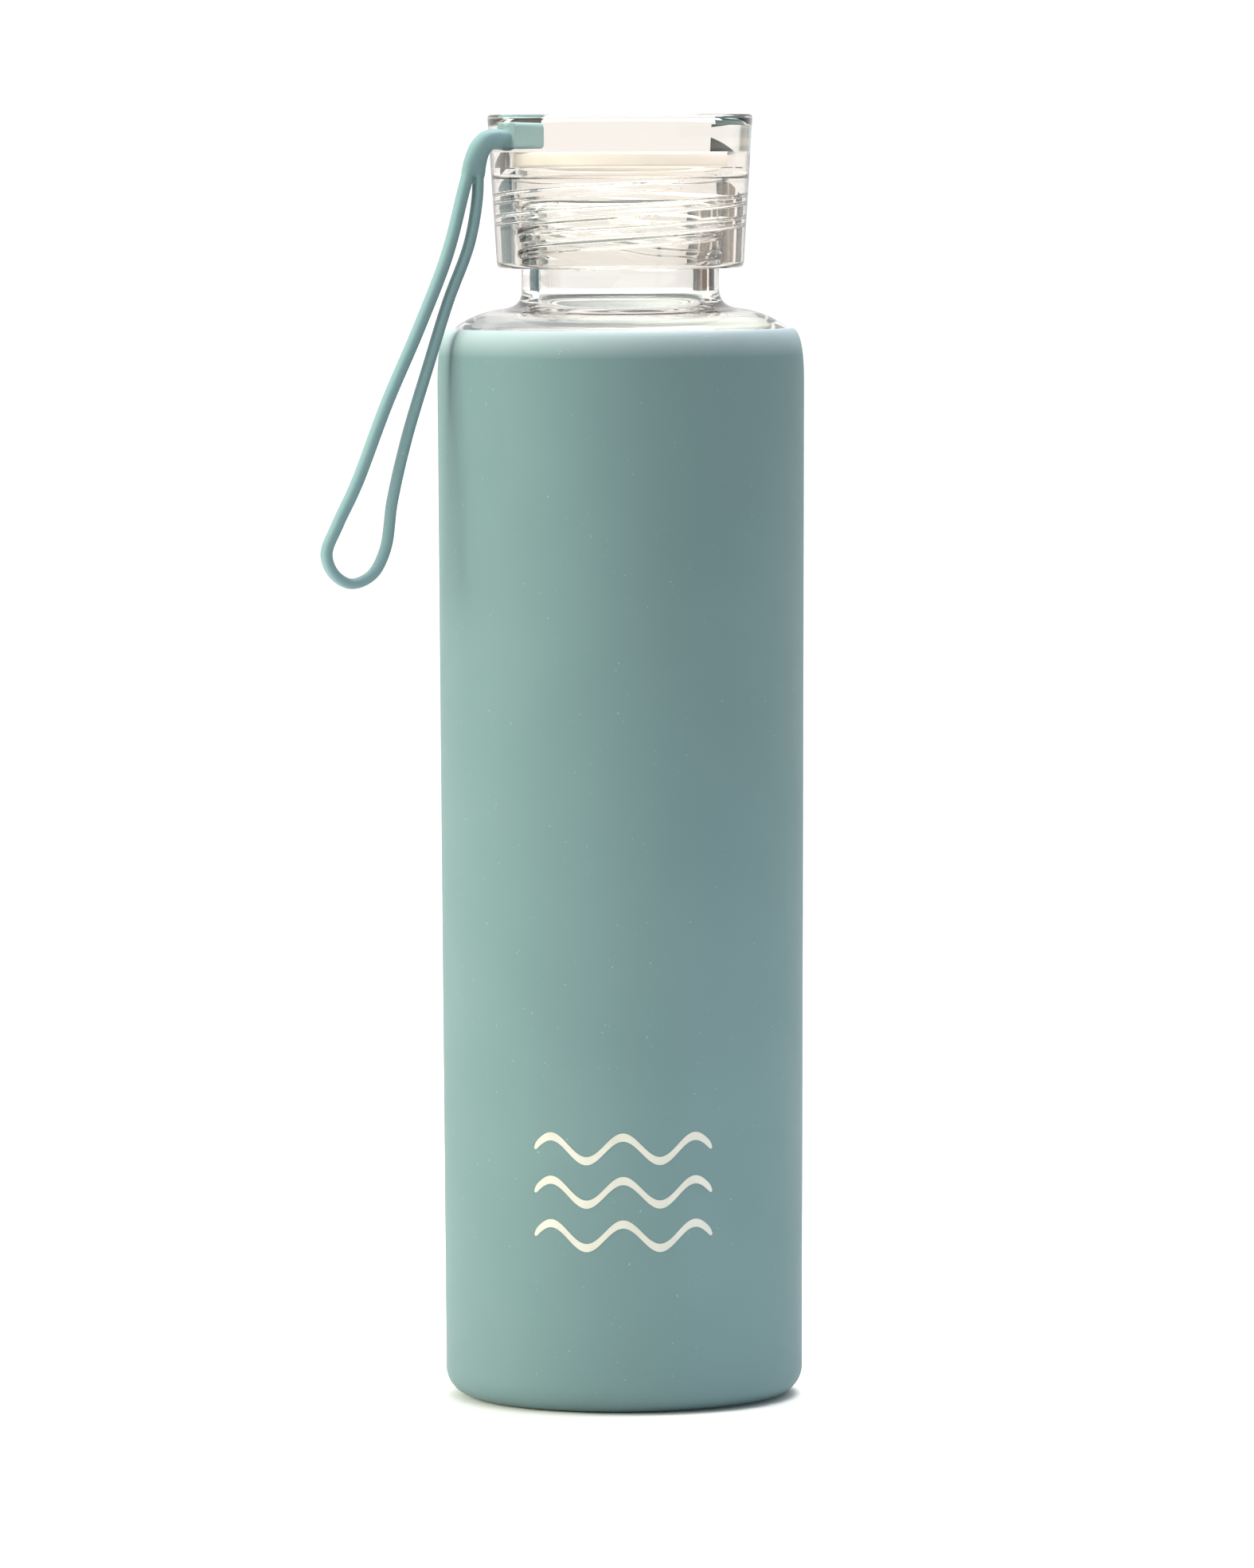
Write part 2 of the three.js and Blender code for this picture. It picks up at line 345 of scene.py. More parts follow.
def silicone(name, colour, dark, roughness, painted_lip_highlight=None):
    """Matte silicone: faint cloudiness, fine moulded grain and a few pale dust specks.

    The last argument gives the heights in metres between which the thin top edge gets a painted
    highlight, standing in for light through the lip.
    """
    n = Nodes(name)
    n.set(IOR=1.41, Specular_IOR_Level=0.25)
    cloud = n.ramp(n.noise(38, detail=3), [(0.3, dark), (0.7, colour)])
    specks = n.ramp(n.noise(1400, detail=1), [(0.755, grey(0)), (0.80, grey(1))])
    dusty = n.add("Mix", data_type="RGBA")
    n.join(cloud, dusty.inputs[MIX_FIRST])
    n.join(n.span(specks, 0, 1, 0, 0.18), dusty.inputs["Factor"])
    dusty.inputs[MIX_SECOND].default_value = DUST
    shown = dusty.outputs[MIX_RESULT]
    if painted_lip_highlight:
        # Painted highlight: the colour is multiplied lighter towards the top edge.
        where = n.add("TexCoord")
        split = n.add("SeparateXYZ")
        n.join(where.outputs["Object"], split.inputs["Vector"])
        painted_lighter = n.add("Mix", data_type="RGBA", blend_type="MULTIPLY")
        n.join(n.span(split.outputs["Z"], *painted_lip_highlight, 0, 1), painted_lighter.inputs["Factor"])
        n.join(shown, painted_lighter.inputs[MIX_FIRST])
        painted_lighter.inputs[MIX_SECOND].default_value = LIP_HIGHLIGHT_GAIN
        shown = painted_lighter.outputs[MIX_RESULT]
    n.join(shown, n.shader.inputs["Base Color"])
    n.join(n.span(n.noise(60, detail=4), 0.3, 0.7, roughness - 0.05, roughness + 0.05),
           n.shader.inputs["Roughness"])
    grain = n.bump(n.noise(2600, detail=2), 0.00002, 0.5)
    n.join(grain.outputs["Normal"], n.shader.inputs["Normal"])
    return n.material


def clear(name, colour, ior, roughness, wave, wave_scale):
    """Clear glass or plastic, with the slight waviness that moulding leaves."""
    n = Nodes(name)
    n.set(Base_Color=colour, IOR=ior, Roughness=roughness, Transmission_Weight=1.0)
    ripple = n.bump(n.noise(wave_scale, detail=2, stretch=(1, 1, 0.5)), wave, 1.0)
    n.join(ripple.outputs["Normal"], n.shader.inputs["Normal"])
    let_lamps_through(n, 0.93)
    return n.material


def let_lamps_through(n, share):
    """Lets this share of a lamp's light straight through clear material."""
    ray = n.add("LightPath")
    passed = n.add("BsdfTransparent", Color=grey(share))
    either = n.add("MixShader")
    n.join(ray.outputs["Is Shadow Ray"], either.inputs["Fac"])
    n.join(n.shader.outputs["BSDF"], either.inputs[1])
    n.join(passed.outputs["BSDF"], either.inputs[2])
    n.join(either.outputs["Shader"], n.tree.nodes["Material Output"].inputs["Surface"])


def translucent_silicone():
    """Milky natural silicone for the seal."""
    n = Nodes("seal_silicone")
    n.set(IOR=1.41, Roughness=0.45, Transmission_Weight=0.55)
    tint = n.ramp(n.noise(90, detail=3),
                  [(0.3, (0.76, 0.71, 0.66, 1)), (0.7, (0.82, 0.77, 0.71, 1))])
    n.join(tint, n.shader.inputs["Base Color"])
    grain = n.bump(n.noise(1500, detail=2), 0.00002, 0.4)
    n.join(grain.outputs["Normal"], n.shader.inputs["Normal"])
    let_lamps_through(n, 0.5)
    return n.material


def dress(obj, material, body, slot, *nodes):
    """Gives a finished piece its material, its body and the CAD nodes it stands for. The slot
    argument is not used.
    """
    obj.data.materials.clear()
    obj.data.materials.append(material)
    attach(obj, body)
    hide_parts(*nodes)
    return obj


def add_skin(obj, material, chosen):
    """Gives a second material to the faces for which chosen(face) is true."""
    obj.data.materials.append(material)
    for face in obj.data.polygons:
        if chosen(face):
            face.material_index = 1


# ---- camera --------------------------------------------------------------------------------

CAMERA_PLACE = (0.0035, -1.8, 0.237)
CAMERA_DOWN, CAMERA_YAW, CAMERA_ROLL = 0.06837, -0.00145, -0.00345  # radians
CAMERA_LENS = 222.8


def camera():
    """Long lens level with the cap's top, looking slightly down at the bottle's front."""
    pitch, yaw, roll = CAMERA_DOWN, CAMERA_YAW, CAMERA_ROLL
    away = Vector((math.sin(yaw) * math.cos(pitch), math.cos(yaw) * math.cos(pitch),
                   -math.sin(pitch)))
    level = Vector((math.cos(yaw), -math.sin(yaw), 0))
    up = level.cross(away)
    right = math.cos(roll) * level + math.sin(roll) * up
    up = right.cross(away)
    turn = Matrix((right, up, -away)).transposed()
    data = bpy.data.cameras.new("camera")
    data.sensor_width = 36
    data.lens = CAMERA_LENS
    data.clip_end = 50
    made = bpy.data.objects.new("camera", data)
    made.matrix_world = Matrix.Translation(CAMERA_PLACE) @ turn.to_4x4()
    bpy.context.scene.collection.objects.link(made)
    bpy.context.scene.camera = made


# ---- glass ---------------------------------------------------------------------------------


def glass_profile():
    """From the middle of the underside, up the outside, over the rim and down the inside."""
    foot = GLASS_BASE_RADIUS - GLASS_FILLET
    wall_top = 190.0
    inner_top = GLASS_RADIUS - GLASS_WALL
    inner_base = GLASS_BASE_RADIUS - GLASS_WALL
    floor = GLASS_BASE + GLASS_FLOOR
    half = (NECK_RADIUS - BORE_RADIUS) / 2
    low_fillet = GLASS_BASE + GLASS_FILLET
    profile = bezier((0, GLASS_BASE + PUNT), (foot / 2, GLASS_BASE + PUNT),
                     (foot - 6, GLASS_BASE + 0.4), (foot - 3, GLASS_BASE), 8)
    profile += arc((foot, low_fillet), GLASS_FILLET, -90, 0, 8)
    profile += line((GLASS_BASE_RADIUS, low_fillet + 1), (GLASS_RADIUS, wall_top), 12)
    profile += bezier((GLASS_RADIUS, wall_top), (GLASS_RADIUS, 196.2), (31.6, 198.3),
                      (29.8, 199.4), 14)
    profile += bezier((29.6, 199.52), (27.4, 200.8), (24.6, 201.8), (22.0, 202.1), 12)[:-1]
    profile += bezier((22.0, 202.1), (19.5, 202.35), (NECK_RADIUS, 203.4),
                      (NECK_RADIUS, 205.8), 12)
    profile += line((NECK_RADIUS, 206.2), (NECK_RADIUS, 210.0), 6)
    profile += line((NECK_RADIUS, 210.0), (NECK_RADIUS, RIM - half), 110)
    profile += arc((BORE_RADIUS + half, RIM - half), half, 0, 180, 12)
    profile += line((BORE_RADIUS, RIM - half - 0.6), (BORE_RADIUS, 205.3), 16)
    profile += bezier((BORE_RADIUS, 205.3), (BORE_RADIUS, 200.6), (17.5, 200.5),
                      (21.5, 200.1), 14)
    profile += bezier((22.0, 200.02), (26.5, 199.4), (inner_top, 197.2), (inner_top, 189), 16)
    profile += line((inner_top, 188), (inner_base, floor + 4.5), 12)
    profile += arc((inner_base - 4, floor + 4), 4, 0, -90, 8)
    profile += [(inner_base * 0.5, floor), (0, floor)]
    return profile


def neck_shape(r, z, azimuth):
    """Thread ridges outside the neck, and a slight unevenness round its foot and in its bore."""
    threaded = r >= NECK_RADIUS - 1e-6 and 209 < z < RIM - 1
    if threaded:
        return r + GLASS_RIDGE * thread_height(z, azimuth, GLASS_PHASE, *GLASS_THREAD)
    uneven = abs(r - BORE_RADIUS) < 7 and 199 < z < 220
    if uneven:
        sway = 0.04 * np.sin(3 * azimuth + 0.35 * z) + 0.02 * np.sin(5 * azimuth - 0.8 * z)
        return r + sway * smoothstep(220, 216, z)
    return np.full(len(azimuth), r)


def glass_bottle():
    body = turned("bottle_glass", glass_profile(), 256, neck_shape)
    skin = clear("clear_glass", (0.99, 0.995, 0.99, 1), 1.50, 0.0, 0.00005, 45)
    return dress(body, skin, "bottle", "clear_glass", "glass_bottle")


# ---- sleeve --------------------------------------------------------------------------------


def sleeve_profile():
    """From the middle of the underside, up the outside, over the lip and down the inside."""
    inside_top = GLASS_RADIUS + GAP
    inside_base = GLASS_BASE_RADIUS + GAP
    flat = SLEEVE_BASE_RADIUS - SLEEVE_FILLET
    profile = line((0, 0), (flat, 0), 5)
    profile += arc((flat, SLEEVE_FILLET), SLEEVE_FILLET, -90, 0, 16)
    profile += line((SLEEVE_BASE_RADIUS, SLEEVE_FILLET + 1), (SLEEVE_RADIUS, SLEEVE_SHOULDER), 24)
    profile += bezier((SLEEVE_RADIUS, SLEEVE_SHOULDER), (SLEEVE_RADIUS, 195.2), (33.2, 197.9),
                      (SLEEVE_LIP_RADIUS + 0.5, SLEEVE_TOP), 24)
    profile += bezier((SLEEVE_LIP_RADIUS + 0.35, SLEEVE_TOP + 0.02),
                      (SLEEVE_LIP_RADIUS + 0.1, SLEEVE_TOP + 0.02),
                      (SLEEVE_LIP_RADIUS, SLEEVE_TOP - 0.08),
                      (SLEEVE_LIP_RADIUS + 0.05, SLEEVE_TOP - 0.3), 5)
    profile += bezier((SLEEVE_LIP_RADIUS + 0.15, SLEEVE_TOP - 0.5), (32.0, 197.2),
                      (inside_top, 195.8), (inside_top, 190.4), 10)
    profile += line((inside_top, 189), (inside_base, SLEEVE_FLOOR + 5), 10)
    profile += arc((inside_base - 4, SLEEVE_FLOOR + 4), 4, 0, -90, 6)
    profile += [(inside_base * 0.5, SLEEVE_FLOOR), (0, SLEEVE_FLOOR)]
    return profile


def sleeve():
    body = turned("sleeve", sleeve_profile(), 192)
    # The sleeve's top edge gets a painted highlight, lighter towards the lip.
    skin = silicone("sleeve_silicone", (0.126, 0.197, 0.208, 1), (0.118, 0.186, 0.198, 1), 0.55,
                    painted_lip_highlight=(0.1935, 0.1985))
    dress(body, skin, "bottle", "sleeve_silicone", "silicone_sleeve")
    # The faces towards the axis get a near-white copy of the silicone: painted light, standing in
    # for light shining through the thin wall.
    painted_lit_inside = silicone("sleeve_inside_painted_light", (0.92, 0.95, 0.95, 1), (0.89, 0.92, 0.92, 1), 0.55)
    add_skin(body, painted_lit_inside, faces_the_axis)
    return body


def faces_the_axis(face):
    return face.normal.dot((face.center.x, face.center.y, 0)) < -1e-6


def ink():
    """Off-white screen-print ink, slightly uneven."""
    n = Nodes("ink")
    tint = n.ramp(n.noise(300, detail=3),
                  [(0.3, (0.47, 0.45, 0.41, 1)), (0.7, (0.52, 0.50, 0.46, 1))])
    n.join(tint, n.shader.inputs["Base Color"])
    n.join(n.span(n.noise(500), 0.3, 0.7, 0.45, 0.6), n.shader.inputs["Roughness"])
    weave = n.bump(n.noise(4000, detail=1), 0.00001, 0.5)
    n.join(weave.outputs["Normal"], n.shader.inputs["Normal"])
    return n.material


WAVE_HEIGHTS = (33, 41, 49)
WAVE_WIDTH = 34
WAVE_CRESTS = 2.5
INK_PROUD = 0.05
INK_DEPTH = 0.1


def wave(centre_z, width, half_stroke, rise, count=140):
    """A wavy printed line with round ends across the sleeve's front, just proud of it."""
    points = []
    for share in np.linspace(-1, 1, count):
        along = share * width / 2
        end = min(1.0, (width / 2 * (1 - abs(share)) + 0.02) / half_stroke)
        half = half_stroke * math.sqrt(end * (2 - end))
        z = centre_z + rise * math.cos(2 * math.pi * along / (width / WAVE_CRESTS))
        for corner_z in (z - half, z + half):
            share_up = corner_z / SLEEVE_SHOULDER
            wall = SLEEVE_BASE_RADIUS + share_up * (SLEEVE_RADIUS - SLEEVE_BASE_RADIUS)
            azimuth = FRONT + along / wall
            for r in (wall - INK_DEPTH, wall + INK_PROUD):
                points.append((r * math.cos(azimuth), r * math.sin(azimuth), corner_z))
    ring = (0, 1, 3, 2)
    faces = [ring]
    for i in range(count - 1):
        a, b = 4 * i, 4 * i + 4
        faces += [(a + ring[k], a + ring[(k + 1) % 4], b + ring[(k + 1) % 4], b + ring[k])
                  for k in range(4)]
    last = 4 * (count - 1)
    faces.append((last, last + 2, last + 3, last + 1))
    return new_mesh("wave", points, faces, smooth=False)


def sleeve_print():
    """A plain printed ornament: three wavy lines near the foot of the sleeve."""
    waves = [wave(z, WAVE_WIDTH, half_stroke=0.75, rise=2.2) for z in WAVE_HEIGHTS]
    body = joined("sleeve_print", waves)
    body.data.set_sharp_from_angle(angle=math.radians(40))
    body.data.materials.append(ink())
    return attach(body, "bottle")


# ---- cap and seal --------------------------------------------------------------------------


def cap_radius(z):
    """The cap's outer radius at a height: it grows wider towards the top."""
    share = (z - CAP_BOTTOM) / (CAP_TOP - CAP_BOTTOM)
    return CAP_BOTTOM_RADIUS + share * (CAP_TOP_RADIUS - CAP_BOTTOM_RADIUS)


def cap_profile():
    """From the middle of the lid's underside, down the inside, up the outside to the top."""
    root = CAP_ROOT_RADIUS
    edge = CAP_EDGE
    thread_bottom = 213.6
    profile = line((0, LID_UNDERSIDE), (SEAT_RADIUS, LID_UNDERSIDE), 6)
    profile += line((SEAT_RADIUS, LID_UNDERSIDE), (SEAT_RADIUS, FLANGE_TOP), 4)
    profile += line((SEAT_RADIUS, FLANGE_TOP), (FLANGE_RADIUS, FLANGE_TOP), 2)
    profile += line((FLANGE_RADIUS, FLANGE_TOP), (FLANGE_RADIUS, FLANGE_BOTTOM + 0.3), 3)
    profile += arc((FLANGE_RADIUS + 0.25, FLANGE_BOTTOM + 0.25), 0.25, 180, 270, 3)
    profile += [(root - 0.2, FLANGE_BOTTOM)]
    profile += line((root, FLANGE_BOTTOM - 0.15), (root, thread_bottom), 126)
    profile += line((root, thread_bottom), (root, CAP_BOTTOM + 0.8), 6)
    profile += bezier((root, CAP_BOTTOM + 0.8), (root + 0.1, CAP_BOTTOM + 0.3),
                      (root + 0.3, CAP_BOTTOM + 0.05), (root + 0.8, CAP_BOTTOM), 6)
    low, low_side = cap_radius(CAP_BOTTOM), cap_radius(CAP_BOTTOM + edge)
    profile += bezier((low - edge, CAP_BOTTOM), (low - edge * 0.4, CAP_BOTTOM),
                      (low, CAP_BOTTOM + edge * 0.4), (low_side, CAP_BOTTOM + edge), 6)
    high, high_side = CAP_TOP_RADIUS, cap_radius(CAP_TOP - edge)
    profile += line((cap_radius(CAP_BOTTOM + 1), CAP_BOTTOM + 1), (high_side, CAP_TOP - edge), 24)
    profile += bezier((high_side, CAP_TOP - edge), (high, CAP_TOP - edge * 0.4),
                      (high - edge * 0.4, CAP_TOP), (high - edge, CAP_TOP), 6)
    profile += line((high - edge - 0.5, CAP_TOP), (0, CAP_TOP), 6) + [(0, CAP_TOP)]
    return profile


def cap_shape(r, z, azimuth):
    """Thread ridges inside the cap."""
    if abs(r - CAP_ROOT_RADIUS) < 1e-6 and z < FLANGE_BOTTOM:
        return r - CAP_RIDGE * thread_height(z, azimuth, CAP_PHASE, *CAP_THREAD)
    return np.full(len(azimuth), r)


def clear_cap():
    """The threaded shell and the lid, which are welded, as one clear body."""
    body = turned("cap_clear", cap_profile(), 256, cap_shape)
    body.data.set_sharp_from_angle(angle=math.radians(40))
    skin = clear("clear_plastic", (0.985, 0.970, 0.945, 1), 1.56, 0.01, 0.00003, 60)
    return dress(body, skin, "cap", "clear_plastic", "cap_shell", "cap_lid")


def seal():
    inner, outer = SEAL_INNER + SEAL_EDGE, SEAL_OUTER - SEAL_EDGE
    low, high = SEAL_BOTTOM + SEAL_EDGE, SEAL_TOP - SEAL_EDGE
    profile = []
    for r, z, start in ((inner, low, 180), (outer, low, 270), (outer, high, 0), (inner, high, 90)):
        profile += arc((r, z), SEAL_EDGE, start, start + 90, 5)
    body = turned("seal", profile, 160)
    return dress(body, translucent_silicone(), "seal", "seal_silicone", "seal_ring")


# ---- strap ---------------------------------------------------------------------------------

# Centre line of the hanging loop, in (radius, height): down the outer strand, round the
# bottom and up the inner strand.
LOOP_ROUTE = [
    (29.5, 229.5), (30.1, 227.3), (31.0, 224.2), (34.3, 212.4), (39.9, 199.0), (46.3, 185.2),
    (52.5, 170.1), (56.2, 162.8), (58.3, 157.6), (56.9, 154.0), (53.6, 152.1), (49.5, 153.6),
    (46.8, 158.3), (45.4, 167.0), (42.5, 178.6), (38.1, 192.1), (34.2, 203.7), (30.0, 214.2),
    (28.4, 222.3), (28.2, 226.4), (28.4, 229.5),
]
# From the head, out of the lid and over the bend to the loop.
NECK_ROUTE = [(19.0, 233.4), (22.0, 233.4), (24.6, 233.45), (26.3, 233.2), (27.8, 231.7),
              (28.7, 229.4), (29.2, 226.9)]
HEAD_INNER, HEAD_OUTER = 13.2, 20.1
HEAD_BOTTOM, HEAD_TOP = 232.0, 236.7
HEAD_HALF_WIDTH = 3.2
STRAND_HALF_THICK = 1.08
STRAND_HALF_DEEP = 1.4
VOXEL = 0.2


def rounded_prism(name, r0, r1, half_width, z0, z1, round_mm):
    """A box along the strap's radius, with its long edges rounded, in the strap's own plane."""
    outline = []
    for cy, cz, start in ((half_width, z1, 0), (-half_width, z1, 90),
                          (-half_width, z0, 180), (half_width, z0, 270)):
        centre = (cy - math.copysign(round_mm, cy), cz + (round_mm if cz == z0 else -round_mm))
        outline += arc(centre, round_mm, start, start + 90, 5)
    count = len(outline)
    points = [(r, y, z) for r in (r0, r1) for y, z in outline]
    faces = [tuple(range(count)), tuple(range(2 * count - 1, count - 1, -1))]
    faces += [(i, (i + 1) % count, count + (i + 1) % count, count + i) for i in range(count)]
    return new_mesh(name, points, faces, smooth=False)


def smooth_route(points, count):
    """A centripetal Catmull-Rom curve through the points, evenly sampled."""
    p = np.array(points, float)
    p = np.vstack([2 * p[0] - p[1], p, 2 * p[-1] - p[-2]])
    made = []
    for i in range(1, len(p) - 2):
        knots = [0.0]
        for k in range(3):
            knots.append(knots[-1] + np.linalg.norm(p[i + k] - p[i + k - 1]) ** 0.5)
        t0, t1, t2, t3 = knots
        for t in np.linspace(t1, t2, 24, endpoint=False):
            a1 = (t1 - t) / (t1 - t0) * p[i - 1] + (t - t0) / (t1 - t0) * p[i]
            a2 = (t2 - t) / (t2 - t1) * p[i] + (t - t1) / (t2 - t1) * p[i + 1]
            a3 = (t3 - t) / (t3 - t2) * p[i + 1] + (t - t2) / (t3 - t2) * p[i + 2]
            b1 = (t2 - t) / (t2 - t0) * a1 + (t - t0) / (t2 - t0) * a2
            b2 = (t3 - t) / (t3 - t1) * a2 + (t - t1) / (t3 - t1) * a3
            made.append((t2 - t) / (t2 - t1) * b1 + (t - t1) / (t2 - t1) * b2)
    made.append(p[-2])
    made = np.array(made)
    run = np.concatenate([[0], np.cumsum(np.linalg.norm(np.diff(made, axis=0), axis=1))])
    even = np.linspace(0, run[-1], count)
    return np.column_stack([np.interp(even, run, made[:, k]) for k in range(made.shape[1])])


def swept(name, route, half_thick, half_deep, sides=24, squareness=2.6):
    """A rounded bar along a route in the strap's plane. Half sizes are values or per point."""
    count = len(route)
    thick = np.broadcast_to(half_thick, count)
    deep = np.broadcast_to(half_deep, count)
    ahead = np.gradient(route, axis=0)
    ahead /= np.linalg.norm(ahead, axis=1)[:, None]
    points = []
    for (r, z), (dr, dz), a, b in zip(route, ahead, thick, deep):
        for k in range(sides):
            turn = 2 * math.pi * k / sides
            c, s = math.cos(turn), math.sin(turn)
            u = a * math.copysign(abs(c) ** (2 / squareness), c)
            v = b * math.copysign(abs(s) ** (2 / squareness), s)
            points.append((r - u * dz, v, z + u * dr))
    faces = [tuple(range(sides)), tuple(range((count - 1) * sides, count * sides))]
    for i in range(count - 1):
        for k in range(sides):
            m = (k + 1) % sides
            faces.append((i * sides + k, i * sides + m, (i + 1) * sides + m, (i + 1) * sides + k))
    return new_mesh(name, points, faces)


def strap_body():
    """Head, neck and loop, melted into one skin."""
    loop_line = smooth_route(LOOP_ROUTE, 260)
    share = np.linspace(0, 1, len(loop_line))
    thick = STRAND_HALF_THICK - 0.12 * smoothstep(0.35, 0.6, share)
    loop = swept("loop", loop_line, thick, STRAND_HALF_DEEP)
    neck_line = smooth_route(NECK_ROUTE, 60)
    along = np.linspace(0, 1, len(neck_line))
    neck = swept("neck", neck_line, 1.9 + 0.35 * smoothstep(0.6, 1, along),
                 2.2 - 0.8 * smoothstep(0.5, 1, along))
    head = rounded_prism("head", HEAD_INNER, HEAD_OUTER, HEAD_HALF_WIDTH, HEAD_BOTTOM,
                         HEAD_TOP, round_mm=0.6)
    body = joined("strap", [loop, neck, head])
    remesh = body.modifiers.new("remesh", "REMESH")
    remesh.mode = "VOXEL"
    remesh.voxel_size = VOXEL * MM
    soften = body.modifiers.new("soften", "SMOOTH")
    soften.factor = 0.5
    soften.iterations = 8
    settle(body)
    body.data.polygons.foreach_set("use_smooth", [True] * len(body.data.polygons))
    body.data.transform(Matrix.Rotation(STRAP_TURN, 4, "Z"))
    return body


def in_the_lid(face):
    return math.hypot(face.center.x, face.center.y) < HEAD_OUTER * MM


def strap():
    """One moulded piece: head in the lid's chamber, bent neck and carry loop."""
    body = strap_body()
    body.data.materials.clear()
    body.data.materials.append(
        silicone("strap_silicone", (0.165, 0.262, 0.285, 1), (0.153, 0.247, 0.270, 1), 0.5))
    # The head's faces inside the lid get a lighter copy of the strap silicone: painted light,
    # standing in for the light the head catches through the clear lid.
    painted_lighter = silicone("strap_head", (0.250, 0.385, 0.380, 1), (0.235, 0.365, 0.360, 1), 0.5)
    add_skin(body, painted_lighter, in_the_lid)
    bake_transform(body)
    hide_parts("strap_head", "strap_loop")
    return body


# ---- stage and light -----------------------------------------------------------------------

# Light round the horizon, by degrees from straight behind the bottle, to the right.
AROUND = [
    (-179, grey(0.1)), (-140, grey(0.12)), (-120, grey(0.5)), (-112, grey(0.9)), (-92, grey(0.9)),
    (-80, grey(0.6)), (-45, grey(0.9)), (24, grey(0.9)), (52, grey(0.14)), (110, grey(0.06)),
    (140, grey(0.05)), (179, grey(0.06)),
]
# The same, as the clear parts show it: a cream backdrop, a greyer room and one brown flag.
BACKDROP = (0.95, 0.90, 0.86, 1)
ROOM = (0.85, 0.82, 0.79, 1)
BROWN_FLAG = (0.26, 0.20, 0.15, 1)
TEAL_FLAG = (0.08, 0.14, 0.15, 1)
DARK_EDGE = (0.03, 0.025, 0.02, 1)
SEEN_THROUGH = [
    (-179, ROOM), (-92, ROOM), (-88, BROWN_FLAG), (-62, BROWN_FLAG), (-58, ROOM),
    (-50, BACKDROP), (50, BACKDROP), (64, ROOM), (179, ROOM),
]
# Cards behind the bottle, seen only through its clear parts: first and last degree, lowest and
# highest millimetre, colour. The lid bends light upwards, over the tall ones.
CARDS = [
    (-60, -35, 190, 217, TEAL_FLAG),
    (-60, -30, 217, 240, TEAL_FLAG),
    (22, 40, 190, 238, DARK_EDGE),
    (46, 70, 190, 238, BROWN_FLAG),
    (-62, -28, 241.5, 245.5, DARK_EDGE),
]
CARD_DISTANCE = 150.0
FLOOR_HALF = 6000
# Added light by the sine of the height above the horizon.
OVERHEAD = [(0.35, grey(0)), (0.6, grey(0.4)), (0.85, grey(0.9)), (1.0, grey(0.9))]


def floor():
    """Plain pale floor, far wider than any view."""
    half = FLOOR_HALF
    corners = [(-half, -half, 0), (half, -half, 0), (half, half, 0), (-half, half, 0)]
    plane = new_mesh("floor", corners, [(0, 1, 2, 3)])
    plane.location.z = cad_lo.z - 0.0002
    n = Nodes("floor_paper")
    n.set(Roughness=0.8)
    tint = n.ramp(n.noise(3, detail=2), [(0.3, grey(0.88)), (0.7, grey(0.9))])
    n.join(tint, n.shader.inputs["Base Color"])
    plane.data.materials.append(n.material)


def card(start, end, low, high, colour):
    """A curved card between two azimuths, in degrees from straight behind, to the right."""
    azimuth = np.radians(90 - np.linspace(start, end, 12))
    points = [(CARD_DISTANCE * math.cos(a), CARD_DISTANCE * math.sin(a), z)
              for a in azimuth for z in (low, high)]
    faces = [(2 * i, 2 * i + 2, 2 * i + 3, 2 * i + 1) for i in range(len(azimuth) - 1)]
    made = new_mesh("card", points, faces)
    n = Nodes("card")
    glow = n.add("Emission", Color=colour)
    n.join(glow.outputs["Emission"], n.tree.nodes["Material Output"].inputs["Surface"])
    made.data.materials.append(n.material)
    for seen_by in ("camera", "diffuse", "glossy", "volume_scatter", "shadow"):
        setattr(made, "visible_" + seen_by, False)


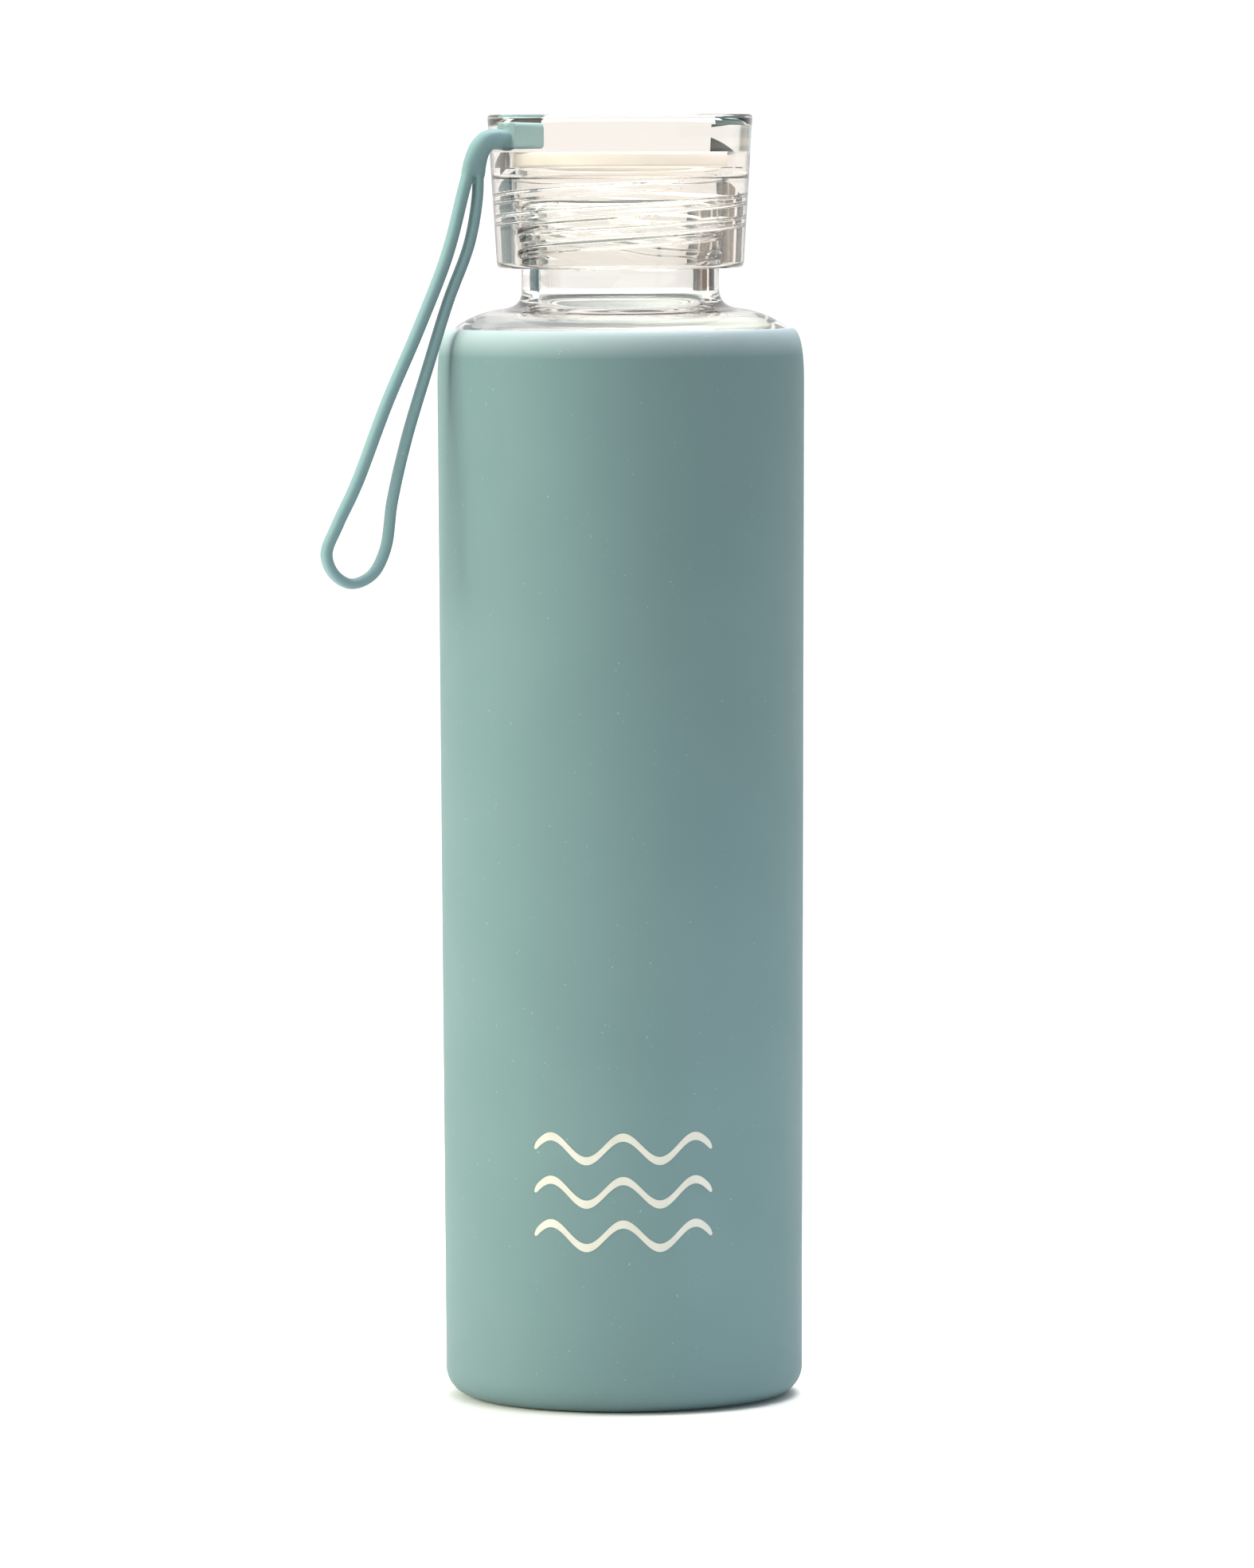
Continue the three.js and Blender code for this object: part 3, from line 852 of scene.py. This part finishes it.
def studio_sky():
    """White to the camera, AROUND to the pieces, and SEEN_THROUGH where they are clear."""
    world = bpy.data.worlds.new("studio")
    bpy.context.scene.world = world
    world.use_nodes = True
    tree = world.node_tree

    def add(kind, *sources, **settings):
        made = tree.nodes.new("ShaderNode" + kind)
        for key, value in settings.items():
            setattr(made, key, value)
        for socket, source in zip(made.inputs, sources):
            if isinstance(source, float):
                socket.default_value = source
            else:
                tree.links.new(source, socket)
        return made

    def ramp(source, stops):
        made = add("ValToRGB", source)
        set_stops(made.color_ramp, stops)
        return made.outputs["Color"]

    def mixed(factor, first, second, blend="MIX"):
        made = add("Mix", data_type="RGBA", blend_type=blend)
        for socket, source in ((made.inputs[0], factor), (made.inputs[MIX_FIRST], first),
                               (made.inputs[MIX_SECOND], second)):
            if isinstance(source, (float, tuple)):
                socket.default_value = source
            else:
                tree.links.new(source, socket)
        return made.outputs[MIX_RESULT]

    ray = add("LightPath").outputs
    split = add("SeparateXYZ", add("TexCoord").outputs["Generated"])
    azimuth = add("Math", split.outputs["X"], split.outputs["Y"], operation="ARCTAN2")
    share = add("MapRange", azimuth.outputs[0], -math.pi, math.pi, 0.0, 1.0).outputs["Result"]
    horizon = [ramp(share, [((degrees + 180) / 360, colour) for degrees, colour in stops])
               for stops in (AROUND, SEEN_THROUGH)]
    around = mixed(ray["Is Transmission Ray"], *horizon)
    lit = mixed(1.0, around, ramp(split.outputs["Z"], OVERHEAD), blend="ADD")
    shown = mixed(ray["Is Camera Ray"], lit, grey(1.1))
    tree.links.new(shown, tree.nodes["Background"].inputs["Color"])


def sun(name, azimuth, elevation, spread, strength, colour):
    """A broad, soft light from far away. Azimuth 0 stands behind the camera, 90 on the right."""
    data = bpy.data.lights.new(name, "SUN")
    data.angle = math.radians(spread)
    data.energy = strength
    data.color = colour
    turn, lift = math.radians(azimuth), math.radians(elevation)
    towards = Vector((math.sin(turn) * math.cos(lift), -math.cos(turn) * math.cos(lift),
                      math.sin(lift)))
    made = bpy.data.objects.new(name, data)
    made.rotation_mode = "QUATERNION"
    made.rotation_quaternion = (-towards).to_track_quat("-Z", "Y")
    made.visible_transmission = False
    made.visible_glossy = False
    bpy.context.scene.collection.objects.link(made)


def soft_box(name, place, target, size, power, colour=(1, 1, 1)):
    """A rectangular light that shines from a place towards a target."""
    data = bpy.data.lights.new(name, "AREA")
    data.shape = "RECTANGLE"
    data.size, data.size_y = size
    data.energy = power
    data.color = colour
    made = bpy.data.objects.new(name, data)
    made.location = place
    made.rotation_mode = "QUATERNION"
    made.rotation_quaternion = (Vector(target) - Vector(place)).to_track_quat("-Z", "Y")
    made.visible_camera = False
    made.visible_transmission = False
    bpy.context.scene.collection.objects.link(made)


def lights():
    """A broad key from the left, a soft box overhead and a weak one low on the right."""
    sun("key", azimuth=-72, elevation=14, spread=45, strength=4.9, colour=(0.98, 1.0, 0.77))
    soft_box("top", place=(0.12, 0.11, 0.8), target=(0, 0, 0.05), size=(0.5, 0.4), power=6.6)
    soft_box("low", place=(0.13, -0.12, 0.02), target=(0.02, 0, 0.03), size=(0.12, 0.04),
             power=0.085, colour=(0.75, 0.95, 1.0))


bpy.context.scene.view_settings.view_transform = "Standard"
camera()
studio_sky()
lights()
floor()
for place_and_colour in CARDS:
    card(*place_and_colour)
glass_bottle()
sleeve()
sleeve_print()
clear_cap()
seal()
strap()
